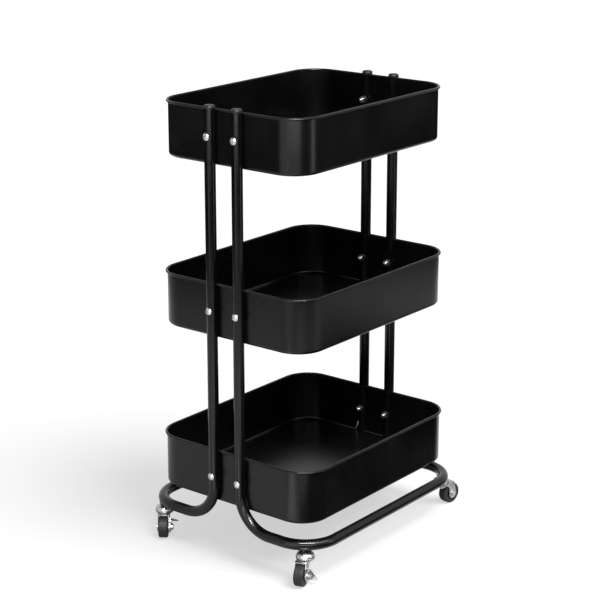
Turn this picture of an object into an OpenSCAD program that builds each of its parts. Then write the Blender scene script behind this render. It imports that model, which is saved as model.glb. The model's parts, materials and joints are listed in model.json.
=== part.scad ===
// Rolling pantry cart: three steel trays on two bent tube frames with four swivel casters.
// Millimetres. X runs along the length, Y from the front to the rear, Z up.
// The origin is on the floor, under the middle of the cart.

/* [Trays] */
// Length of every tray over its end walls
tray_length = 417; // [397:1:430]
// Width of the top tray over its side walls
top_tray_width = 302; // [270:1:310]
// Extra width of each lower tray over the one above
tray_width_step = 17; // [0:1:19]
// Height of a tray from its underside to the top of its rolled rim
tray_height = 94; // [70:1:120]
// Plan radius of the tray corners
tray_corner_radius = 50; // [30:1:65]
// Radius of the bottom edge of a tray
tray_bottom_radius = 6; // [4:0.5:10]
// Thickness of the pressed sheet
sheet = 1; // [0.8:0.1:1.4]
// Diameter of the rolled bead round the rim
bead_dia = 4.4; // [3.6:0.1:6]
// Height of the bottom tray's rim above the floor
bottom_rim_height = 190; // [180:1:240]
// Height from one tray's rim to the rim of the next
tray_pitch = 292.5; // [200:0.5:320]
// Inner radius of the bend where an end wall turns into a post groove
groove_edge_radius = 2; // [1.5:0.1:3]

/* [Frame] */
// Outer diameter of the frame tube
tube_dia = 18.5; // [16:0.5:20]
// Wall of the frame tube
tube_wall = 1.2; // [1:0.1:1.6]
// Distance from a tray's end wall out to the centres of its posts
post_offset = 5.5; // [4:0.5:8]
// Distance between the two post centres at one end
post_gap = 57; // [50:1:64]
// Width of the base over the tube centres
base_width = 362; // [360:1:400]
// Height of the base tube's centre above the floor
base_tube_height = 63.5; // [62:0.5:70]
// Bend radius of the tube, to its centre
bend_radius = 62; // [50:1:70]
// Height from the middle tray's rim down to the joint in the posts
joint_drop = 11; // [6:1:18]
// Length of the narrowed post end that slides into the lower tube
spigot_length = 62; // [55:1:75]
// Radial play of the narrowed post end
spigot_play = 0.05; // [0.02:0.01:0.1]
// Height of a post end above the top tray's rim
post_rise = -1; // [-3:0.5:2]
// Height of a post cap above the post end
cap_height = 6; // [3.5:0.5:8]
// Edge radius of a post cap
cap_edge_radius = 3.5; // [2:0.5:5]
// Depth of a post cap's plug in the tube
cap_plug_depth = 12; // [8:1:20]

/* [Fasteners] */
// Diameter of the tray screws
screw_dia = 6; // [5:0.5:6.5]
// Diameter of a screw head
screw_head_dia = 13; // [11:0.5:14]
// Height of a screw head
screw_head_height = 3.4; // [2.5:0.1:4.5]
// Width across flats of the hex socket in a screw head
hex_socket_size = 4; // [3:0.5:5]
// Height from a tray's rim down to its screws
screw_drop = 46; // [35:1:55]
// Diameter of the saddle washer behind an end wall
washer_dia = 14; // [12:0.5:15]
// Thickness of the saddle washer on the crest of the groove
washer_thickness = 2; // [1.5:0.1:3]
// Width across flats of a cap nut
nut_size = 10; // [8:0.5:11]
// Length of a cap nut's hexagon
nut_hex_length = 4.5; // [4:0.5:6]
// Radius of a cap nut's dome
nut_dome_radius = 4.2; // [3.8:0.1:4.8]

/* [Casters] */
// Diameter of a wheel
wheel_dia = 38; // [36:1:38]
// Width of a wheel
wheel_width = 16; // [12:0.5:18]
// Diameter of the hub inside the tyre
hub_dia = 25; // [20:1:27]
// Shoulder radius of the tyre
tyre_shoulder = 2.5; // [1:0.25:3.5]
// Horizontal distance from the stem to the axle
caster_trail = 21; // [17:0.5:23]
// Diameter of the axle
axle_dia = 5; // [4:0.5:6]
// Thickness of the fork's steel
fork_thickness = 1.6; // [1.2:0.1:2]
// Side play between a wheel and a fork leg
wheel_side_play = 0.8; // [0.5:0.1:1.5]
// Height of the gap between a wheel and the fork's bridge
wheel_top_gap = 2; // [1.6:0.1:2.4]
// Radius of a fork leg round the axle
leg_end_radius = 8.5; // [7:0.5:10]
// Distance of the fork's rear edge behind the stem
fork_back = 11; // [8:0.5:11]
// Depth of the fork's side skirt under its bridge
fork_skirt = 4; // [2:0.5:6]
// Radius of the hollow corner between skirt and leg
fork_corner_radius = 8; // [4:0.5:9]
// Width of the channel pressed into a fork leg
leg_channel_width = 6; // [4:0.5:7]
// Depth of the channel pressed into a fork leg
leg_channel_depth = 0.6; // [0.3:0.1:0.8]
// Diameter of the swivel race on the fork
race_dia = 29; // [27:0.5:30]
// Height of the swivel race on the fork
race_height = 0.8; // [0.6:0.1:1]
// Diameter of the fixed dome over the race
dome_dia = 31; // [30:0.5:32]
// Diameter of the flat on top of the dome
dome_top_dia = 15; // [15:0.5:18]
// Height of the dome's straight skirt
dome_skirt = 1.2; // [0.8:0.1:1.6]
// Diameter of the caster stem
stem_dia = 8; // [7:0.5:9]
// Height of the rivet head under the fork's bridge
rivet_head_height = 1.4; // [1:0.1:1.6]
// Outer diameter of the welded caster socket
socket_dia = 15; // [12.5:0.5:15]
// Place of a caster on the corner bend, as an angle from the cart's length
caster_angle = 38; // [30:1:60]
// Rest direction of the front left wheel, turned from the cart's length
heading_front_left = 198.5; // [180:0.5:220]
// Rest direction of the rear left wheel, turned from the cart's length
heading_rear_left = 216; // [190:0.5:220]
// Rest direction of the front right wheel, turned from the cart's length
heading_front_right = -10; // [-20:0.5:20]
// Rest direction of the rear right wheel, turned from the cart's length
heading_rear_right = 28; // [0:0.5:40]

/* [Brakes] */
// Length of the brake lever from the axle to the outer face of its foot tab
brake_length = 13.5; // [12.5:0.5:14.5]
// Radius of the brake lever round the axle
brake_hub_radius = 10; // [9:0.5:10.5]
// Width of the brake lever at its foot tab
brake_tab_width = 17; // [14:0.5:18]
// Reach of the foot tab out from the lever
brake_tab_reach = 12; // [8:0.5:14]
// Width of the foot tab's outer edge
brake_tab_tip = 3; // [2:0.5:6]
// Thickness of the brake lever's steel
brake_thickness = 1.6; // [1.2:0.1:2]
// Radius of the cup that holds the brake's cam
brake_cup_radius = 6; // [5:0.5:6.5]
// Depth of the cup that holds the brake's cam
brake_cup_depth = 3; // [2:0.5:4]
// Direction of the locked lever, turned up from the way the wheel trails
brake_locked_angle = 193; // [190:1:196]
// Turn of the brake lever between released and locked
brake_throw = 66; // [50:1:68]

/* [Hidden] */
$fn = 96;

// Corners as [side of X, side of Y]
FRONT_LEFT = [-1, -1];
REAR_LEFT = [-1, 1];
FRONT_RIGHT = [1, -1];
REAR_RIGHT = [1, 1];
CORNERS = [FRONT_LEFT, REAR_LEFT, FRONT_RIGHT, REAR_RIGHT];

// Fits
snug = 0.05;
running_fit = 0.06;
body_gap = 0.4;
past = 1;

// Tubes
tube_r = tube_dia / 2;
post_x = tray_length / 2 + post_offset;
post_y = post_gap / 2;
base_y = base_width / 2;
middle_rim_height = bottom_rim_height + tray_pitch;
top_rim_height = middle_rim_height + tray_pitch;
joint_height = middle_rim_height - joint_drop;
post_top = top_rim_height + post_rise;
leg_foot = base_tube_height + bend_radius;
spigot_r = tube_r - tube_wall - spigot_play;
shoulder_length = 2;

// Trays
wall_x = tray_length / 2;
bead_r = bead_dia / 2;
tub_height = tray_height - bead_r;
groove_r = tube_r + snug;
edge_x = post_offset + groove_edge_radius + sheet;
edge_reach = groove_r + groove_edge_radius + sheet;
groove_half = sqrt(edge_reach * edge_reach - edge_x * edge_x);
groove_angle = atan2(groove_half, edge_x);
edge_steps = 8;
edge_lap = 0.01;

// Fasteners
crest_x = post_x - groove_r - sheet;
washer_face_x = crest_x - washer_thickness;
nut_face_x = washer_face_x - nut_hex_length;
screw_hole_r = screw_dia / 2 + 0.2;
dome_overlap = 0.8;
screw_end_x = nut_face_x - dome_overlap;

// Casters
wheel_r = wheel_dia / 2;
leg_inner = wheel_width / 2 + wheel_side_play;
leg_outer = leg_inner + fork_thickness;
bridge_bottom = wheel_dia + wheel_top_gap;
bridge_top = bridge_bottom + fork_thickness;
race_top = bridge_top + race_height;
dome_bottom = race_top + body_gap;
dome_top_r = dome_top_dia / 2;
dome_edge = (dome_dia - dome_top_dia) / 2;
dome_top = dome_bottom + dome_skirt + dome_edge;
stem_r = stem_dia / 2;
socket_r = socket_dia / 2;
socket_top = base_tube_height + 4;
stem_top = socket_top - 1;
king_hole_r = stem_r + running_fit;
rivet_head_r = stem_r + 2.4;
rivet_head_top = bridge_bottom - body_gap;
axle_r = axle_dia / 2;
axle_head_r = axle_r + 1.8;
axle_head_height = 1.6;
leg_front = caster_trail + 3.5;
leg_back = caster_trail - leg_end_radius;
skirt_bottom = bridge_bottom - fork_skirt;

// Brakes
brake_inner = leg_outer + body_gap;
brake_outer = brake_inner + brake_thickness;
brake_stack = brake_outer + brake_cup_depth + body_gap;

function corner_spot(corner) = [
    corner[0] * (post_x - bend_radius + bend_radius * cos(caster_angle)),
    corner[1] * (base_y - bend_radius + bend_radius * sin(caster_angle)), 0];

function heading(corner) =
    corner == FRONT_LEFT ? heading_front_left :
    corner == REAR_LEFT ? heading_rear_left :
    corner == FRONT_RIGHT ? heading_front_right : heading_rear_right;

// ---- Shared shapes ----

module ring(outer, inner) {
    difference() {
        circle(r = outer);
        circle(r = inner);
    }
}

// A hole along X through both walls of a post
module cross_hole(x, y, z, r) {
    translate([x - tube_dia, y, z]) rotate([0, 90, 0]) cylinder(r = r, h = 2 * tube_dia);
}

// ---- Trays ----

// Section of a tub corner, from its own axis outwards
module corner_section(r, h, f) {
    square([r - f, h]);
    translate([0, f]) square([r, h - f]);
    intersection() {
        translate([r - f, f]) circle(r = f);
        translate([r - f, 0]) square([f, f]);
    }
}

// Section of a tub across its full width
module full_section(w, h, f) {
    for (side = [0, 1]) mirror([side, 0]) {
        square([w / 2 - f, h]);
        translate([0, f]) square([w / 2, h - f]);
        intersection() {
            translate([w / 2 - f, f]) circle(r = f);
            translate([w / 2 - f, 0]) square([f, f]);
        }
    }
}

// Solid tub with round plan corners and a round bottom edge
module tub(l, w, h, r, f) {
    for (quarter = [0:3]) {
        sx = (quarter == 0 || quarter == 3) ? 1 : -1;
        sy = quarter < 2 ? 1 : -1;
        translate([sx * (l / 2 - r), sy * (w / 2 - r), 0]) rotate([0, 0, 90 * quarter])
            rotate_extrude(angle = 90) corner_section(r, h, f);
    }
    translate([-(l / 2 - r), 0, 0]) rotate([90, 0, 90])
        linear_extrude(l - 2 * r) full_section(w, h, f);
    translate([0, w / 2 - r, 0]) rotate([90, 0, 0])
        linear_extrude(w - 2 * r) full_section(l, h, f);
}

// The rolled rim's open curl, its origin where the wall's outer face ends
module curl() {
    translate([bead_r - sheet, 0]) difference() {
        ring(bead_r, bead_r - sheet);
        translate([-bead_dia, -bead_dia]) square([bead_dia - bead_r / 7, bead_dia]);
    }
}

// The curl along a straight edge: it starts at the origin and runs along +X, facing -Y
module curl_run(length) {
    rotate([90, 0, 90]) linear_extrude(length) mirror([1, 0]) curl();
}

module rolled_rim(w) {
    r = tray_corner_radius;
    end = w / 2 - r;
    for (sx = [-1, 1]) for (sy = [-1, 1]) {
        translate([sx * (wall_x - r), sy * end, 0])
            rotate([0, 0, sx > 0 ? (sy > 0 ? 0 : 270) : (sy > 0 ? 90 : 180)])
            rotate_extrude(angle = 90) translate([r, 0]) curl();
    }
    for (side = [0, 1]) mirror([0, side, 0])
        translate([-(wall_x - r), -w / 2, 0]) curl_run(2 * (wall_x - r));
    for (side = [0, 1]) mirror([side, 0, 0]) {
        translate([wall_x, -end, 0]) rotate([0, 0, 90]) curl_run(end - post_y - groove_half);
        translate([wall_x, -(post_y - groove_half), 0]) rotate([0, 0, 90])
            curl_run(2 * (post_y - groove_half));
        translate([wall_x, post_y + groove_half, 0]) rotate([0, 0, 90])
            curl_run(end - post_y - groove_half);
    }
}

// Plan of a groove's round edge from the post to the +X end wall, as short chords
function edge_points(r) = [for (step = [0:edge_steps])
    let (turn = groove_angle * (step / edge_steps - 1))
    [post_x - edge_x + (r + edge_lap) * cos(turn), groove_half + (r + edge_lap) * sin(turn)]];

// The space of a groove in the +X end wall: a bore round the post and a mouth with round edges
module groove_space(bore_r, edge_r) {
    points = edge_points(edge_r);
    translate([post_x, 0, -past]) cylinder(r = bore_r, h = tray_height + 2 * past);
    translate([0, 0, -past]) linear_extrude(tray_height + 2 * past) polygon(concat(
        points,
        [[wall_x + past, groove_half], [wall_x + past, -groove_half]],
        [for (step = [edge_steps:-1:0]) [points[step][0], -points[step][1]]]));
}

// Every post position, with the +X end's shapes turned to the -X end
module at_posts() {
    for (side = [0, 1]) mirror([side, 0, 0])
        for (sy = [-1, 1]) translate([0, sy * post_y, 0]) children();
}

// Room for the four bends where they leave the grooves of the bottom tray
module bend_room() {
    for (side = [0, 1]) for (half = [0, 1]) mirror([side, 0, 0]) mirror([0, half, 0])
        at_post_bend() rotate_extrude(angle = 90) translate([bend_radius, 0])
            circle(r = tube_r + body_gap);
}

module tray(w, rim) {
    color([0.09, 0.09, 0.10]) translate([0, 0, rim - tray_height]) {
        difference() {
            tub(tray_length, w, tub_height, tray_corner_radius, tray_bottom_radius);
            at_posts() groove_space(groove_r, groove_edge_radius + sheet);
            difference() {
                translate([0, 0, sheet]) tub(tray_length - 2 * sheet, w - 2 * sheet,
                    tub_height, tray_corner_radius - sheet, tray_bottom_radius - sheet);
                at_posts() groove_space(groove_r + sheet, groove_edge_radius);
            }
            at_posts() cross_hole(post_x, 0, tray_height - screw_drop, screw_hole_r);
            if (rim - tray_height < leg_foot) translate([0, 0, tray_height - rim]) bend_room();
        }
        translate([0, 0, tub_height]) rolled_rim(w);
    }
}

// ---- Frame ----

module pipe(length) {
    linear_extrude(length) ring(tube_r, tube_r - tube_wall);
}

// A right-angle bend from +X to +Y about the origin
module pipe_bend() {
    rotate_extrude(angle = 90) translate([bend_radius, 0]) ring(tube_r, tube_r - tube_wall);
}

// The bend that turns the front left post into the base, from its own X and Y
module at_post_bend() {
    translate([-post_x, -(post_y + bend_radius), leg_foot])
        rotate([-90, 0, 0]) rotate([0, -90, 0]) children();
}

// From the joint in a front post down, along the end and round the corner to the long side
module frame_half() {
    end_start = -(post_y + bend_radius);
    end_length = base_y - bend_radius + end_start;
    translate([-post_x, -post_y, leg_foot]) pipe(joint_height - leg_foot);
    at_post_bend() pipe_bend();
    translate([-post_x, end_start, base_tube_height]) rotate([90, 0, 0]) pipe(end_length);
    translate([-(post_x - bend_radius), -(base_y - bend_radius), base_tube_height])
        rotate([0, 0, 180]) pipe_bend();
}

// The front frame: one tube bent up into the lower part of both front posts
module frame_tube() {
    color([0.09, 0.09, 0.10]) difference() {
        union() {
            frame_half();
            mirror([1, 0, 0]) frame_half();
            translate([-(post_x - bend_radius), -base_y, base_tube_height])
                rotate([0, 90, 0]) pipe(2 * (post_x - bend_radius));
        }
        for (side = [-1, 1]) {
            for (rim = [bottom_rim_height, middle_rim_height])
                cross_hole(side * post_x, -post_y, rim - screw_drop, screw_hole_r);
            translate(corner_spot([side, -1])) translate([0, 0, base_tube_height - tube_dia])
                cylinder(r = socket_r + snug, h = tube_dia);
        }
    }
}

module upper_post(corner) {
    color([0.09, 0.09, 0.10]) translate([corner[0] * post_x, corner[1] * post_y, 0]) difference() {
        union() {
            translate([0, 0, joint_height]) pipe(post_top - joint_height);
            translate([0, 0, joint_height])
                linear_extrude(shoulder_length) ring(tube_r - tube_wall / 2, spigot_r - tube_wall);
            translate([0, 0, joint_height - spigot_length])
                linear_extrude(spigot_length) ring(spigot_r, spigot_r - tube_wall);
        }
        for (rim = [middle_rim_height, top_rim_height])
            cross_hole(0, 0, rim - screw_drop, screw_hole_r);
    }
}

module post_cap(corner) {
    head_r = tube_r;
    flat_r = head_r - cap_edge_radius;
    color([0.05, 0.05, 0.05]) translate([corner[0] * post_x, corner[1] * post_y, post_top]) {
        rotate_extrude() {
            square([flat_r, cap_height]);
            square([head_r, cap_height - cap_edge_radius]);
            intersection() {
                translate([flat_r, cap_height - cap_edge_radius]) circle(r = cap_edge_radius);
                translate([flat_r, cap_height - cap_edge_radius]) square(cap_edge_radius);
            }
        }
        translate([0, 0, -cap_plug_depth])
            cylinder(r = tube_r - tube_wall - snug, h = cap_plug_depth);
    }
}

// ---- Fasteners, on the +X end with the screw pointing to -X ----

module at_screws(rim) {
    translate([0, 0, rim - screw_drop]) at_posts() children();
}

module screw() {
    cap_r = screw_head_dia / 2;
    bulge = (cap_r * cap_r + screw_head_height * screw_head_height) / (2 * screw_head_height);
    socket_depth = screw_head_height * 0.6;
    translate([screw_end_x, 0, 0]) rotate([0, 90, 0])
        cylinder(d = screw_dia, h = post_x + tube_r - screw_end_x);
    difference() {
        translate([post_x + tube_r, 0, 0]) rotate([0, 90, 0]) intersection() {
            cylinder(r = cap_r, h = screw_head_height);
            translate([0, 0, screw_head_height - bulge]) sphere(r = bulge);
        }
        translate([post_x + tube_r + screw_head_height - socket_depth, 0, 0]) rotate([0, 90, 0])
            cylinder(d = hex_socket_size / cos(30), h = screw_head_height, $fn = 6);
    }
}

// A washer whose outer side is hollowed to sit on the round crest of the groove
module washer() {
    spread = groove_r + sheet - sqrt(pow(groove_r + sheet, 2) - pow(washer_dia / 2, 2));
    difference() {
        translate([washer_face_x, 0, 0]) rotate([0, 90, 0])
            cylinder(d = washer_dia, h = washer_thickness + spread);
        translate([post_x, 0, -washer_dia]) cylinder(r = groove_r + sheet + snug / 2, h = 2 * washer_dia);
        translate([washer_face_x - past, 0, 0]) rotate([0, 90, 0])
            cylinder(r = screw_hole_r, h = 2 * washer_dia);
    }
}

module cap_nut() {
    difference() {
        union() {
            translate([nut_face_x, 0, 0]) rotate([0, 90, 0])
                cylinder(d = nut_size / cos(30), h = nut_hex_length, $fn = 6);
            intersection() {
                translate([nut_face_x, 0, 0]) sphere(r = nut_dome_radius);
                translate([nut_face_x - nut_size, -nut_size, -nut_size])
                    cube([nut_size + past, 2 * nut_size, 2 * nut_size]);
            }
        }
        translate([screw_end_x, 0, 0]) rotate([0, 90, 0])
            cylinder(d = screw_dia, h = nut_size);
    }
}

module screws(rim) {
    color([0.80, 0.81, 0.83]) at_screws(rim) screw();
}

module washers(rim) {
    color([0.12, 0.12, 0.12]) at_screws(rim) washer();
}

module nuts(rim) {
    color([0.80, 0.81, 0.83]) at_screws(rim) cap_nut();
}

// ---- Casters, each with its stem on Z and its wheel towards +X ----

module at_caster(corner) {
    translate(corner_spot(corner)) rotate([0, 0, heading(corner)]) children();
}

module caster_sockets() {
    color([0.09, 0.09, 0.10]) for (corner = CORNERS) translate(corner_spot(corner))
        translate([0, 0, dome_top]) difference() {
            cylinder(r = socket_r, h = socket_top - dome_top);
            translate([0, 0, -past]) cylinder(r = stem_r, h = socket_top - dome_top + 2 * past);
        }
}

// The stem, riveted under the fork's bridge
module stem(corner) {
    color([0.80, 0.81, 0.83]) at_caster(corner) {
        translate([0, 0, rivet_head_top]) cylinder(r = stem_r, h = stem_top - rivet_head_top);
        translate([0, 0, rivet_head_top - rivet_head_height])
            cylinder(r = rivet_head_r, h = rivet_head_height);
    }
}

module dome_outline(inset) {
    square([dome_top_r - inset, dome_top - dome_bottom - inset]);
    square([dome_dia / 2 - inset, dome_skirt]);
    intersection() {
        translate([dome_top_r, dome_skirt]) circle(r = dome_edge - inset);
        translate([dome_top_r - inset, dome_skirt]) square(dome_edge);
    }
}

module dome(corner) {
    color([0.80, 0.81, 0.83]) at_caster(corner) translate([0, 0, dome_bottom]) difference() {
        rotate_extrude() dome_outline(0);
        translate([0, 0, -past]) cylinder(r = stem_r, h = dome_top);
    }
}

// Side view of a fork leg: X is along the trail and Y is up
module leg_outline() {
    r = fork_corner_radius;
    translate([-fork_back, skirt_bottom]) square([fork_back + leg_front, bridge_top - skirt_bottom]);
    translate([caster_trail, wheel_r]) circle(r = leg_end_radius);
    polygon([[leg_back, wheel_r], [caster_trail + leg_end_radius, wheel_r],
        [leg_front, bridge_top], [leg_back, bridge_top]]);
    translate([leg_back - r, skirt_bottom - r]) difference() {
        square(r + past);
        circle(r = r);
    }
}

// Side view of the channel pressed into a leg, from above the axle up to the bridge
module channel_outline() {
    foot = wheel_r + axle_head_r + leg_channel_width;
    middle = (leg_back + leg_front) / 2;
    translate([middle, foot]) circle(d = leg_channel_width);
    translate([middle - leg_channel_width / 2, foot])
        square([leg_channel_width, bridge_bottom - foot]);
}

module fork(corner) {
    color([0.80, 0.81, 0.83]) at_caster(corner) difference() {
        union() {
            for (side = [-1, 1]) translate([0, side * (leg_inner + leg_outer) / 2, 0])
                rotate([90, 0, 0]) linear_extrude(fork_thickness, center = true) leg_outline();
            translate([-fork_back, -leg_outer, bridge_bottom])
                cube([fork_back + leg_front, 2 * leg_outer, fork_thickness]);
            translate([0, 0, bridge_bottom]) cylinder(d = dome_dia, h = fork_thickness);
            translate([0, 0, bridge_bottom]) cylinder(d = race_dia, h = race_top - bridge_bottom);
        }
        translate([0, 0, bridge_bottom - past]) cylinder(r = king_hole_r, h = dome_top);
        translate([caster_trail, 0, wheel_r]) rotate([90, 0, 0])
            cylinder(r = axle_r + snug / 2, h = 4 * leg_outer, center = true);
        for (side = [0, 1]) mirror([0, side, 0]) translate([0, leg_outer + past, 0])
            rotate([90, 0, 0]) linear_extrude(past + leg_channel_depth) channel_outline();
    }
}

// The axle, with a round head on each side; a brake makes it longer on the +Y side
module axle(corner, braked) {
    reach = braked ? brake_stack : leg_outer;
    color([0.80, 0.81, 0.83]) at_caster(corner) translate([caster_trail, 0, wheel_r])
        rotate([90, 0, 0]) {
            translate([0, 0, -reach]) cylinder(r = axle_r, h = reach + leg_outer);
            translate([0, 0, leg_outer]) cylinder(r = axle_head_r, h = axle_head_height);
            translate([0, 0, -reach - axle_head_height])
                cylinder(r = axle_head_r, h = axle_head_height);
        }
}

module tyre(corner) {
    color([0.07, 0.07, 0.07]) at_caster(corner) translate([caster_trail, 0, wheel_r])
        rotate([90, 0, 0]) rotate_extrude() {
            half = wheel_width / 2;
            deep = wheel_r - hub_dia / 2;
            translate([hub_dia / 2, -half]) square([deep - tyre_shoulder, wheel_width]);
            translate([hub_dia / 2, -half + tyre_shoulder])
                square([deep, wheel_width - 2 * tyre_shoulder]);
            for (side = [0, 1]) mirror([0, side]) intersection() {
                translate([wheel_r - tyre_shoulder, half - tyre_shoulder]) circle(r = tyre_shoulder);
                translate([wheel_r - tyre_shoulder, half - tyre_shoulder]) square(tyre_shoulder);
            }
        }
}

module hub(corner) {
    boss_r = axle_r + 3;
    web = wheel_width / 3;
    rim_depth = 2;
    color([0.10, 0.10, 0.10]) at_caster(corner) translate([caster_trail, 0, wheel_r])
        rotate([90, 0, 0]) difference() {
            union() {
                cylinder(d = hub_dia, h = web, center = true);
                cylinder(r = boss_r, h = wheel_width + wheel_side_play, center = true);
                difference() {
                    cylinder(d = hub_dia, h = wheel_width, center = true);
                    cylinder(r = hub_dia / 2 - rim_depth, h = wheel_width + past, center = true);
                }
            }
            cylinder(r = axle_r + running_fit, h = 2 * wheel_width, center = true);
        }
}

// The brake lever: a plate that turns on the axle, a cam cup and a foot tab folded outwards
module brake(corner, turn) {
    color([0.80, 0.81, 0.83]) at_caster(corner) translate([caster_trail, 0, wheel_r])
        rotate([0, -turn - brake_locked_angle, 0]) difference() {
            union() {
                translate([0, brake_outer, 0]) rotate([90, 0, 0])
                    linear_extrude(brake_thickness) brake_plate();
                translate([0, brake_outer + brake_cup_depth, 0]) rotate([90, 0, 0])
                    cylinder(r = brake_cup_radius, h = brake_cup_depth + brake_thickness);
                translate([brake_length - brake_thickness, brake_inner, 0]) rotate([90, 0, 90])
                    linear_extrude(brake_thickness) brake_tab();
            }
            rotate([90, 0, 0]) cylinder(r = axle_r + running_fit, h = 4 * brake_stack, center = true);
        }
}

// Side view of the brake lever: X runs from the axle to the foot tab
module brake_plate() {
    half = brake_tab_width / 2;
    circle(r = brake_hub_radius);
    polygon([[0, -brake_hub_radius], [brake_length, -half], [brake_length, half],
        [0, brake_hub_radius]]);
}

// The foot tab from its end: X is the reach, and its lower edge is the long one
module brake_tab() {
    half = brake_tab_width / 2;
    reach = brake_thickness + brake_tab_reach;
    polygon([[0, -half], [brake_thickness, -half], [reach, half - brake_tab_tip],
        [reach, half], [0, half]]);
}

tray(top_tray_width, top_rim_height);  // tray_top
tray(top_tray_width + tray_width_step, middle_rim_height);  // tray_middle
tray(top_tray_width + 2 * tray_width_step, bottom_rim_height);  // tray_bottom
frame_tube();  // front_frame_tube
mirror([0, 1, 0]) frame_tube();  // rear_frame_tube
upper_post(FRONT_LEFT);  // post_front_left
upper_post(REAR_LEFT);  // post_rear_left
upper_post(FRONT_RIGHT);  // post_front_right
upper_post(REAR_RIGHT);  // post_rear_right
post_cap(FRONT_LEFT);  // cap_front_left
post_cap(REAR_LEFT);  // cap_rear_left
post_cap(FRONT_RIGHT);  // cap_front_right
post_cap(REAR_RIGHT);  // cap_rear_right
screws(top_rim_height);  // screws_top
screws(middle_rim_height);  // screws_middle
screws(bottom_rim_height);  // screws_bottom
washers(top_rim_height);  // washers_top
washers(middle_rim_height);  // washers_middle
washers(bottom_rim_height);  // washers_bottom
nuts(top_rim_height);  // nuts_top
nuts(middle_rim_height);  // nuts_middle
nuts(bottom_rim_height);  // nuts_bottom
caster_sockets();
stem(FRONT_LEFT);  // stem_front_left
stem(REAR_LEFT);  // stem_rear_left
stem(FRONT_RIGHT);  // stem_front_right
stem(REAR_RIGHT);  // stem_rear_right
dome(FRONT_LEFT);  // dome_front_left
dome(REAR_LEFT);  // dome_rear_left
dome(FRONT_RIGHT);  // dome_front_right
dome(REAR_RIGHT);  // dome_rear_right
fork(FRONT_LEFT);  // fork_front_left
fork(REAR_LEFT);  // fork_rear_left
fork(FRONT_RIGHT);  // fork_front_right
fork(REAR_RIGHT);  // fork_rear_right
axle(FRONT_LEFT, true);  // axle_front_left
axle(REAR_LEFT, true);  // axle_rear_left
axle(FRONT_RIGHT, false);  // axle_front_right
axle(REAR_RIGHT, false);  // axle_rear_right
hub(FRONT_LEFT);  // hub_front_left
hub(REAR_LEFT);  // hub_rear_left
hub(FRONT_RIGHT);  // hub_front_right
hub(REAR_RIGHT);  // hub_rear_right
tyre(FRONT_LEFT);  // tyre_front_left
tyre(REAR_LEFT);  // tyre_rear_left
tyre(FRONT_RIGHT);  // tyre_front_right
tyre(REAR_RIGHT);  // tyre_rear_right
brake(FRONT_LEFT, 0);  // brake_front_left
brake(REAR_LEFT, -brake_throw);  // brake_rear_left
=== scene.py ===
# %% [markdown]
# # Rolling pantry cart
# This lesson dresses a finished CAD model of a three-tier rolling cart: black pressed trays, two bent
# tube frames and four small swivel casters. The CAD solids give every size and place. Blender adds the
# finishes, the small made details and the studio.
#
# Everything is in metres: X runs along the cart, Y from the front to the rear and Z up from the floor.

# %% Load the frame
import json
import math

import bmesh
import bpy
from mathutils import Matrix, Vector


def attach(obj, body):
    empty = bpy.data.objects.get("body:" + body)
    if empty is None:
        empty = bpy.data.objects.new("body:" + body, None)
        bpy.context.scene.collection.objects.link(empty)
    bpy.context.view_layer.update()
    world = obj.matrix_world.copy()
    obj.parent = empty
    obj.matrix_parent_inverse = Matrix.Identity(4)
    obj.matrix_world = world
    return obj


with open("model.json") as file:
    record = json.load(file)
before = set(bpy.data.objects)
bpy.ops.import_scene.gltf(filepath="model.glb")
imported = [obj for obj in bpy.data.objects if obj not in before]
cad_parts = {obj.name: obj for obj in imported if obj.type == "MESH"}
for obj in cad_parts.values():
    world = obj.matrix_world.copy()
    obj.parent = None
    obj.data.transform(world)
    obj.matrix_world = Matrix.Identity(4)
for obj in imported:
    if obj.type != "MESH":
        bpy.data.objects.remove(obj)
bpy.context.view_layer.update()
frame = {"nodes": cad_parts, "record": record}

nodes = frame["nodes"]

# %% [markdown]
# ## Camera
# The cart is seen from its left end and front, a little from above. A long lens about three metres away
# keeps the posts from leaning much in the picture. The camera is placed by its direction round the cart,
# its distance and its height, and aimed by how far it tips down and turns. A small shift of the lens sets
# how high the cart stands in the picture.

# %% The camera
CAMERA_AROUND = math.radians(38.08)
CAMERA_DISTANCE = 2.9388
CAMERA_HEIGHT = 1.2946
CAMERA_TIP = math.radians(-15.80)
CAMERA_TURN = math.radians(0.19)
FOCAL_LENGTH = 106.03
LENS_SHIFT_UP = -0.05
SENSOR_WIDTH = 36
NEAREST_SEEN = 0.1
FARTHEST_SEEN = 50


def place_camera():
    """A camera on the left front side that faces the cart's upright middle line and tips down."""
    data = bpy.data.cameras.new("camera")
    data.sensor_width = SENSOR_WIDTH
    data.lens = FOCAL_LENGTH
    data.shift_y = LENS_SHIFT_UP
    data.clip_start, data.clip_end = NEAREST_SEEN, FARTHEST_SEEN
    camera = bpy.data.objects.new("camera", data)
    bpy.context.scene.collection.objects.link(camera)
    camera.location = (-CAMERA_DISTANCE * math.cos(CAMERA_AROUND),
                       -CAMERA_DISTANCE * math.sin(CAMERA_AROUND), CAMERA_HEIGHT)
    heading = CAMERA_AROUND + CAMERA_TURN - math.pi / 2
    camera.rotation_euler = (math.pi / 2 + CAMERA_TIP, 0, heading)
    bpy.context.scene.camera = camera
    return camera


camera = place_camera()
print("camera at", [round(v, 3) for v in camera.location])

# %% [markdown]
# ## Building materials from nodes
# Each finish is one Principled shader with a few textures. They read Object coordinates, which are
# metres here, so a noise scale of 1000 gives grains about a millimetre wide. One helper makes the shader
# and the coordinates, and another the noise. Two more spread a noise over a range of numbers or of colours,
# which is the usual way to turn it into a roughness or a tint between two limits.


# %% Material helpers
EDGE_SAMPLES = 4


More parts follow.
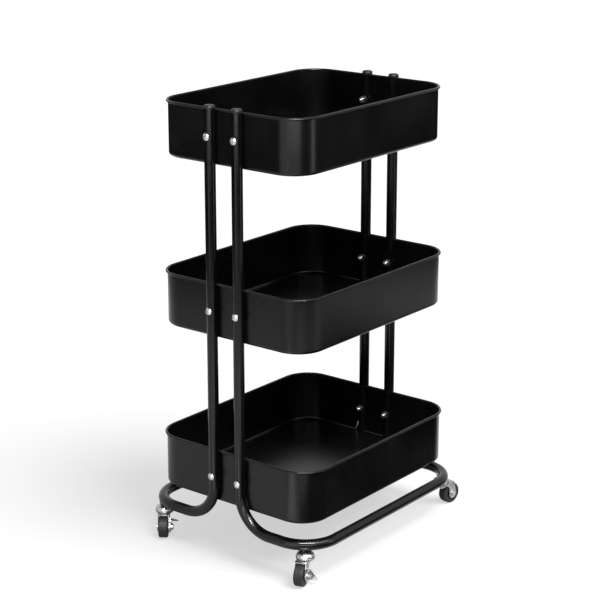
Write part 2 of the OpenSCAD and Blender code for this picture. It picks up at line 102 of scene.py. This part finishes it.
def new_finish(name):
    """A material with a Principled shader; returns it with its node tree, shader and Object coordinates."""
    material = bpy.data.materials.new(name)
    material.use_nodes = True
    tree = material.node_tree
    shader = tree.nodes["Principled BSDF"]
    coordinates = tree.nodes.new("ShaderNodeTexCoord")
    return material, tree, shader, coordinates.outputs["Object"]


def add_noise(tree, place, scale, detail=3.0, roughness=0.5, stretch=None):
    """A noise texture; stretch squeezes it along an axis to make streaks."""
    noise = tree.nodes.new("ShaderNodeTexNoise")
    noise.inputs["Scale"].default_value = scale
    noise.inputs["Detail"].default_value = detail
    noise.inputs["Roughness"].default_value = roughness
    if stretch:
        mapping = tree.nodes.new("ShaderNodeMapping")
        mapping.inputs["Scale"].default_value = stretch
        tree.links.new(place, mapping.inputs["Vector"])
        place = mapping.outputs["Vector"]
    tree.links.new(place, noise.inputs["Vector"])
    return noise.outputs["Fac"]


def between(tree, value, low, high, start=0.3, stop=0.7):
    """Spreads a noise value over the range low to high."""
    spread = tree.nodes.new("ShaderNodeMapRange")
    spread.inputs["From Min"].default_value = start
    spread.inputs["From Max"].default_value = stop
    spread.inputs["To Min"].default_value = low
    spread.inputs["To Max"].default_value = high
    tree.links.new(value, spread.inputs["Value"])
    return spread.outputs["Result"]


def colour_between(tree, value, dark, light, start=0.3, stop=0.7):
    """Blends two colours by a noise value."""
    ramp = tree.nodes.new("ShaderNodeValToRGB")
    ramp.color_ramp.elements[0].position = start
    ramp.color_ramp.elements[0].color = (*dark, 1)
    ramp.color_ramp.elements[1].position = stop
    ramp.color_ramp.elements[1].color = (*light, 1)
    tree.links.new(value, ramp.inputs["Fac"])
    return ramp.outputs["Color"]


def add_bump(tree, height, shader, strength, distance, under=None):
    """A bump map; under is the normal of a coarser bump below it."""
    bump = tree.nodes.new("ShaderNodeBump")
    bump.inputs["Strength"].default_value = strength
    bump.inputs["Distance"].default_value = distance
    tree.links.new(height, bump.inputs["Height"])
    if under:
        tree.links.new(under, bump.inputs["Normal"])
    tree.links.new(bump.outputs["Normal"], shader.inputs["Normal"])
    return bump.outputs["Normal"]


def rounded_edge(tree, radius):
    """The Bevel node bends the normal near an edge, so sharp CAD edges catch a thin line of light."""
    bevel = tree.nodes.new("ShaderNodeBevel")
    bevel.samples = EDGE_SAMPLES
    bevel.inputs["Radius"].default_value = radius
    return bevel.outputs["Normal"]


# %% [markdown]
# ## Powder coat
# The trays and tubes carry a black powder coat. It cures into a tough skin with a faint orange peel: soft
# bumps a millimetre or two across that blur a reflection and break up its edge. Sheet metal adds a slow
# waviness that bends long reflections. Both are bump maps here, because their height is a few hundredths
# of a millimetre and real geometry for them would cost millions of faces.


# %% Powder coat
CLOUD_SCALE = 9.0
SHEET_WAVE_SCALE = 5.0
SHEET_WAVE_DEPTH = 0.004
PEEL_SCALE = 700.0
PEEL_STRENGTH = 0.10
PEEL_DEPTH = 0.0004
SPECK_SCALE = 2600.0
SPECK_STRENGTH = 0.06
SPECK_DEPTH = 0.0002


def powder_coat(name, dark, light, smooth, dull, wave, gloss):
    """Black powder coat with orange peel; wave is the slow unevenness of the sheet below."""
    material, tree, shader, place = new_finish(name)
    cloud = add_noise(tree, place, CLOUD_SCALE, detail=4.0, roughness=0.55)
    peel = add_noise(tree, place, PEEL_SCALE, detail=2.0)
    speck = add_noise(tree, place, SPECK_SCALE, detail=2.0, roughness=0.6)
    tree.links.new(colour_between(tree, cloud, dark, light), shader.inputs["Base Color"])
    tree.links.new(between(tree, cloud, smooth, dull), shader.inputs["Roughness"])
    sheet_wave = add_noise(tree, place, SHEET_WAVE_SCALE, detail=1.0, roughness=0.4)
    coarse = add_bump(tree, sheet_wave, shader, wave, SHEET_WAVE_DEPTH)
    middle = add_bump(tree, peel, shader, PEEL_STRENGTH, PEEL_DEPTH, coarse)
    add_bump(tree, speck, shader, SPECK_STRENGTH, SPECK_DEPTH, middle)
    shader.inputs["Specular IOR Level"].default_value = gloss
    return material


tray_coat = powder_coat("tray_powder_coat", (0.0012, 0.0012, 0.0014), (0.0032, 0.0032, 0.0035),
                        smooth=0.20, dull=0.28, wave=0.08, gloss=0.24)
frame_coat = powder_coat("frame_powder_coat", (0.0014, 0.0014, 0.0016), (0.0034, 0.0034, 0.0037),
                         smooth=0.17, dull=0.23, wave=0.03, gloss=0.26)
print("powder coats:", tray_coat.name, frame_coat.name)

# %% [markdown]
# ## Zinc, nickel, plastic and rubber
# The casters are stamped from zinc-plated steel, bright with a slightly cloudy, streaky sheen. The screws
# and cap nuts are smoother. The post caps, hubs and tyres are black mouldings: a fine matt grain for the
# caps and hubs, and for the rubber a softer, duller surface with a little dust.


# %% Bright metals
EDGE_ROUND = 0.0004
PLATE_CLOUD_SCALE = 120.0
PLATE_GRAIN_STRENGTH = 0.12
PLATE_GRAIN_DEPTH = 0.0002
MOULDED_CLOUD_SCALE = 60.0
MOULDED_GRAIN_DEPTH = 0.0003
MOULDED_GLOSS = 0.3


def plated_metal(name, dark, light, smooth, dull, grain, stretch=None):
    """Plated steel: cloudy colour, uneven gloss and a faint rolled grain."""
    material, tree, shader, place = new_finish(name)
    shader.inputs["Metallic"].default_value = 1.0
    cloud = add_noise(tree, place, PLATE_CLOUD_SCALE, detail=5.0, roughness=0.6)
    grain_noise = add_noise(tree, place, grain, roughness=0.6, stretch=stretch)
    tree.links.new(colour_between(tree, cloud, dark, light), shader.inputs["Base Color"])
    tree.links.new(between(tree, grain_noise, smooth, dull), shader.inputs["Roughness"])
    edge = rounded_edge(tree, EDGE_ROUND)
    add_bump(tree, grain_noise, shader, PLATE_GRAIN_STRENGTH, PLATE_GRAIN_DEPTH, edge)
    return material


def moulded(name, dark, light, smooth, dull, grain, strength):
    """A moulded plastic or rubber with a fine grain."""
    material, tree, shader, place = new_finish(name)
    cloud = add_noise(tree, place, MOULDED_CLOUD_SCALE, detail=4.0, roughness=0.6)
    grain_noise = add_noise(tree, place, grain, detail=2.0)
    tree.links.new(colour_between(tree, cloud, dark, light), shader.inputs["Base Color"])
    tree.links.new(between(tree, cloud, smooth, dull), shader.inputs["Roughness"])
    edge = rounded_edge(tree, EDGE_ROUND)
    add_bump(tree, grain_noise, shader, strength, MOULDED_GRAIN_DEPTH, edge)
    shader.inputs["Specular IOR Level"].default_value = MOULDED_GLOSS
    return material


zinc = plated_metal("zinc_plate", (0.26, 0.27, 0.28), (0.50, 0.51, 0.52),
                    smooth=0.18, dull=0.34, grain=500.0, stretch=(1.0, 1.0, 0.25))
nickel = plated_metal("nickel_plate", (0.36, 0.36, 0.37), (0.52, 0.52, 0.53),
                      smooth=0.22, dull=0.34, grain=900.0)
washer_zinc = plated_metal("black_zinc", (0.05, 0.05, 0.05), (0.09, 0.09, 0.09),
                           smooth=0.30, dull=0.42, grain=900.0)
cap_plastic = moulded("cap_plastic", (0.0020, 0.0020, 0.0020), (0.0045, 0.0045, 0.0045),
                      smooth=0.38, dull=0.50, grain=1500.0, strength=0.15)
hub_plastic = moulded("hub_plastic", (0.0025, 0.0025, 0.0027), (0.0055, 0.0055, 0.0057),
                      smooth=0.35, dull=0.50, grain=1500.0, strength=0.15)
rubber = moulded("tyre_rubber", (0.005, 0.005, 0.005), (0.012, 0.0115, 0.011),
                 smooth=0.50, dull=0.68, grain=1100.0, strength=0.25)

FINISHES = {
    "black_tray_steel": tray_coat, "black_frame_steel": frame_coat, "cap_plastic": cap_plastic,
    "bright_fasteners": nickel, "dark_washer_steel": washer_zinc, "zinc_plated_steel": zinc,
    "hub_plastic": hub_plastic, "tyre_rubber": rubber}
print("finishes:", ", ".join(FINISHES))

# %% [markdown]
# ## Dressing the CAD nodes
# The record says which finish each node has. Every node keeps its mesh, and only its material slots change.

# %% Assign the finishes
slot_of = {part["node"]: part["material_slot"] for part in frame["record"]["subparts"]}
for name, node in nodes.items():
    node.data.materials.clear()
    node.data.materials.append(FINISHES[slot_of[name]])
print("dressed", len(nodes), "nodes")

# %% [markdown]
# ## Rings where the parts meet
# Three kinds of small ring finish places that a solid model leaves bare. A weld bead runs round each caster
# socket under its tube, a lip marks the mouth of each lower tube where the upper post slides in, and a
# pressed ridge goes round each caster dome. All three start as a circle spun round an upright axis.
# The alternative is a curve with a round bevel. In a mesh each vertex can be moved on its own, so the bead
# can follow the tube and ripple.


# %% Rings
MM = 0.001
MERGE_DISTANCE = 1e-7
TUBE_RADIUS = 9.25 * MM
TUBE_HEIGHT = 63.5 * MM
BEND_RADIUS = 62 * MM
BEND_CENTRE = (152 * MM, 119 * MM)
SOCKET_RADIUS = 7.5 * MM
BEAD_RADIUS = 1.3 * MM
BEAD_RIPPLES = 22
BEAD_RIPPLE = 0.16
BEAD_STEPS = 132
RING_STEPS = 96
JOINT_HEIGHT = 471.5 * MM
LIP_RADIUS = 0.35 * MM
RIDGE_HEIGHT = 43.9 * MM
RIDGE_RADIUS = 0.6 * MM
DOME_RADIUS = 15.5 * MM
CORNERS = ("front_left", "rear_left", "front_right", "rear_right")


def middle_of(name):
    """The middle of a CAD node's box."""
    corners = [nodes[name].matrix_world @ Vector(corner) for corner in nodes[name].bound_box]
    return (Vector(map(min, *corners)) + Vector(map(max, *corners))) / 2


def spun_ring(ring_radius, section_radius, steps, sides=12):
    """A circle spun round Z into a closed ring."""
    made = bmesh.new()
    place = Matrix.Translation((ring_radius, 0, 0)) @ Matrix.Rotation(math.pi / 2, 4, "X")
    bmesh.ops.create_circle(made, segments=sides, radius=section_radius, matrix=place)
    bmesh.ops.spin(made, geom=made.verts[:] + made.edges[:], cent=(0, 0, 0), axis=(0, 0, 1),
                   angle=2 * math.pi, steps=steps, use_merge=True)
    bmesh.ops.remove_doubles(made, verts=made.verts, dist=MERGE_DISTANCE)
    bmesh.ops.recalc_face_normals(made, faces=made.faces)
    return made


def cart_piece(name, made, finish):
    """Links a made piece that stays with the cart's frame."""
    mesh = bpy.data.meshes.new(name)
    made.to_mesh(mesh)
    made.free()
    for face in mesh.polygons:
        face.use_smooth = True
    piece = bpy.data.objects.new(name, mesh)
    bpy.context.scene.collection.objects.link(piece)
    mesh.materials.append(finish)
    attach(piece, "cart_frame")
    return piece


def tube_underside(x, y):
    """Height of the bent base tube's underside at a point."""
    off_line = math.hypot(abs(x) - BEND_CENTRE[0], abs(y) - BEND_CENTRE[1]) - BEND_RADIUS
    return TUBE_HEIGHT - math.sqrt(TUBE_RADIUS ** 2 - off_line ** 2)


def weld_bead(corner):
    """A rippled ring that climbs round the underside of the tube."""
    spot = middle_of("stem_" + corner)
    made = spun_ring(SOCKET_RADIUS, BEAD_RADIUS, BEAD_STEPS)
    for vertex in made.verts:
        angle = math.atan2(vertex.co.y, vertex.co.x)
        line = Vector((math.cos(angle), math.sin(angle), 0)) * SOCKET_RADIUS
        swell = 1 + BEAD_RIPPLE * math.cos(BEAD_RIPPLES * angle)
        vertex.co = line + (vertex.co - line) * swell
        vertex.co.x += spot.x
        vertex.co.y += spot.y
        vertex.co.z += tube_underside(spot.x + line.x, spot.y + line.y)
    return cart_piece("weld_bead_" + corner, made, frame_coat)


def level_ring(name, spot, height, ring_radius, section_radius, finish):
    """A plain ring at one height."""
    made = spun_ring(ring_radius, section_radius, RING_STEPS)
    bmesh.ops.translate(made, vec=(spot.x, spot.y, height), verts=made.verts)
    return cart_piece(name, made, finish)


for corner in CORNERS:
    weld_bead(corner)
    level_ring("joint_lip_" + corner, middle_of("cap_" + corner), JOINT_HEIGHT,
               TUBE_RADIUS, LIP_RADIUS, frame_coat)
    level_ring("dome_ridge_" + corner, middle_of("dome_" + corner), RIDGE_HEIGHT,
               DOME_RADIUS, RIDGE_RADIUS, zinc)
print("rings made:", 3 * len(CORNERS))

# %% [markdown]
# ## Floor and light
# A white studio: white paper under the cart and one broad soft sun, high in front, that throws a faint
# shadow to the rear. The camera and every reflection see the world as plain white, through Light Path. A
# sun is used and not an area lamp, because it lights the whole paper alike and leaves no bright pool.
#
# Black gloss shows what stands around it, so the room decides how the cart looks. Black felt hides what
# should not be mirrored, as in a real studio. A wide ring lies on the paper some way out, so the upper trays
# mirror little. A card lies in front, so the bottom tray's long side stays black while its end keeps the
# sheen of the paper. A disc hangs overhead. The felt shows in reflections only.
#
# Six area lamps also show in reflections only, so they add shine without a second shadow. Four strips round
# and above the cart draw the bright lines on the tubes, the rims and the rounded tray corners. Two lamps on
# the floor face upwards and give the posts and the nearest corners their soft bands.


# %% The paper and the cards
PAPER_HALF_WIDTH = 9.0
PAPER_WHITE = 0.90
PAPER_ROUGHNESS = 0.9
FELT_BLACK = 0.002
FELT_ROUGHNESS = 1.0
PAPER_FADE = 0.58
CURTAIN_INNER = 1.75
CURTAIN_OUTER = 9.0
FELT_SIDES = 64
CARD_WHERE = (0.295, -0.66)
CARD_SIZE = (1.49, 0.83)
CARD_LIFT = 0.002
CEILING_HEIGHT = 2.7
CEILING_RADIUS = 2.3


def stage_piece(name, made, material):
    """Links a bmesh as a studio object that isn't part of the cart."""
    mesh = bpy.data.meshes.new(name)
    made.to_mesh(mesh)
    made.free()
    piece = bpy.data.objects.new(name, mesh)
    bpy.context.scene.collection.objects.link(piece)
    mesh.materials.append(material)
    return piece


def plain_surface(name, colour, roughness):
    """A matt surface of one colour."""
    material = bpy.data.materials.new(name)
    material.use_nodes = True
    shader = material.node_tree.nodes["Principled BSDF"]
    shader.inputs["Base Color"].default_value = (*colour, 1)
    shader.inputs["Roughness"].default_value = roughness
    shader.inputs["Specular IOR Level"].default_value = 0.0
    return material


def reflections_only(piece):
    """Keeps a card out of the picture, the shadows and the soft light."""
    piece.visible_camera = False
    piece.visible_shadow = False
    piece.visible_diffuse = False
    return piece


def paper():
    """White paper that fades part of the way to plain white for the camera, so its shadows stay faint."""
    material = plain_surface("studio_paper", (PAPER_WHITE,) * 3, PAPER_ROUGHNESS)
    tree = material.node_tree
    white = tree.nodes.new("ShaderNodeEmission")
    white.inputs["Strength"].default_value = 1.0
    path = tree.nodes.new("ShaderNodeLightPath")
    share = tree.nodes.new("ShaderNodeMath")
    share.operation = "MULTIPLY"
    share.inputs[1].default_value = PAPER_FADE
    tree.links.new(path.outputs["Is Camera Ray"], share.inputs[0])
    mix = tree.nodes.new("ShaderNodeMixShader")
    tree.links.new(share.outputs["Value"], mix.inputs["Fac"])
    tree.links.new(tree.nodes["Principled BSDF"].outputs["BSDF"], mix.inputs[1])
    tree.links.new(white.outputs["Emission"], mix.inputs[2])
    tree.links.new(mix.outputs["Shader"], tree.nodes["Material Output"].inputs["Surface"])
    return material


def paper_floor():
    """The sheet of paper that the cart stands on."""
    made = bmesh.new()
    bmesh.ops.create_grid(made, x_segments=1, y_segments=1, size=PAPER_HALF_WIDTH)
    return stage_piece("studio_floor", made, paper())


def black_curtain(material):
    """A flat ring of black felt round the middle part of the paper, which stays bright in reflections."""
    made = bmesh.new()
    bmesh.ops.create_circle(made, segments=FELT_SIDES, radius=CURTAIN_INNER)
    grown = bmesh.ops.extrude_edge_only(made, edges=made.edges[:])["geom"]
    outer = [part for part in grown if isinstance(part, bmesh.types.BMVert)]
    spread = CURTAIN_OUTER / CURTAIN_INNER
    bmesh.ops.scale(made, vec=(spread, spread, 1), verts=outer)
    bmesh.ops.translate(made, vec=(0, 0, CARD_LIFT), verts=made.verts)
    return reflections_only(stage_piece("black_curtain", made, material))


def black_card(material):
    """A flat card of black felt in front of the cart."""
    made = bmesh.new()
    bmesh.ops.create_grid(made, x_segments=1, y_segments=1, size=0.5)
    bmesh.ops.scale(made, vec=(*CARD_SIZE, 1), verts=made.verts)
    bmesh.ops.translate(made, vec=(*CARD_WHERE, CARD_LIFT), verts=made.verts)
    return reflections_only(stage_piece("black_card", made, material))


def black_ceiling(material):
    """A disc of black felt over the cart."""
    made = bmesh.new()
    bmesh.ops.create_circle(made, cap_ends=True, segments=FELT_SIDES, radius=CEILING_RADIUS)
    bmesh.ops.translate(made, vec=(0, 0, CEILING_HEIGHT), verts=made.verts)
    return reflections_only(stage_piece("black_ceiling", made, material))


felt = plain_surface("black_felt", (FELT_BLACK,) * 3, FELT_ROUGHNESS)
paper_floor()
black_curtain(felt)
black_card(felt)
black_ceiling(felt)
print("paper and cards in place")


# %% The world and the lamps
ROOM_LIGHT = 0.42
WHITE = (1, 1, 1, 1)
FLOOR_LAMP_LIFT = 0.004


def soft_world():
    """An even soft light, plain white for the camera and for reflections."""
    world = bpy.data.worlds.new("studio_world")
    world.use_nodes = True
    bpy.context.scene.world = world
    tree = world.node_tree
    room = tree.nodes["Background"]
    room.inputs["Color"].default_value = WHITE
    room.inputs["Strength"].default_value = ROOM_LIGHT
    white = tree.nodes.new("ShaderNodeBackground")
    white.inputs["Color"].default_value = WHITE
    white.inputs["Strength"].default_value = 1.0
    path = tree.nodes.new("ShaderNodeLightPath")
    seen = path.outputs["Is Camera Ray"]
    for ray in ("Is Glossy Ray", "Is Transmission Ray"):
        either = tree.nodes.new("ShaderNodeMath")
        either.operation = "MAXIMUM"
        tree.links.new(seen, either.inputs[0])
        tree.links.new(path.outputs[ray], either.inputs[1])
        seen = either.outputs["Value"]
    mix = tree.nodes.new("ShaderNodeMixShader")
    tree.links.new(seen, mix.inputs["Fac"])
    tree.links.new(room.outputs["Background"], mix.inputs[1])
    tree.links.new(white.outputs["Background"], mix.inputs[2])
    tree.links.new(mix.outputs["Shader"], tree.nodes["World Output"].inputs["Surface"])
    return world


def aim(lamp, place, target):
    """Puts a lamp at a place and turns it to face the target."""
    lamp.location = place
    lamp.rotation_euler = (Vector(target) - Vector(place)).to_track_quat("-Z", "Y").to_euler()


def lamp_object(name, data, place, target):
    """Links a lamp and aims it."""
    lamp = bpy.data.objects.new(name, data)
    bpy.context.scene.collection.objects.link(lamp)
    aim(lamp, place, target)
    return lamp


def soft_sun(name, place, strength, spread):
    """A far lamp that lights the whole floor alike; spread is its width as an angle."""
    data = bpy.data.lights.new(name, "SUN")
    data.energy = strength
    data.angle = math.radians(spread)
    return lamp_object(name, data, place, (0, 0, 0))


def area_lamp(name, place, target, width, height, power):
    """A rectangular lamp that only draws its own reflection."""
    data = bpy.data.lights.new(name, "AREA")
    data.shape = "RECTANGLE"
    data.size, data.size_y = width, height
    data.energy = power
    lamp = lamp_object(name, data, place, target)
    lamp.visible_camera = False
    lamp.visible_diffuse = False
    return lamp


def floor_lamp(name, x, y, width, height, power):
    """An area lamp that lies on the paper and faces upwards."""
    return area_lamp(name, (x, y, FLOOR_LAMP_LIFT), (x, y, 1), width, height, power)


soft_world()
soft_sun("key_front", place=(0.15, -1.7, 2.7), strength=3.3, spread=38)
area_lamp("strip_left", place=(-2.0, -0.15, 0.6), target=(0, 0, 0.55), width=1.1, height=1.5, power=7.5)
area_lamp("strip_front", place=(0.55, -2.0, 0.6), target=(0, 0, 0.5), width=0.5, height=1.2, power=5)
area_lamp("strip_above", place=(-1.3, -1.3, 2.4), target=(-0.1, -0.1, 0.1), width=1.6, height=0.2, power=200)
area_lamp("strip_low", place=(-1.75, -1.4, 0.55), target=(0, 0, 0.2), width=1.8, height=0.14, power=13)
floor_lamp("floor_left", x=-0.85, y=-0.12, width=0.9, height=0.16, power=0.8)
floor_lamp("floor_corner", x=-0.72, y=-0.68, width=0.36, height=0.36, power=0.8)
print("lamps placed")

# %% Finish
bpy.context.scene.view_settings.view_transform = "Standard"
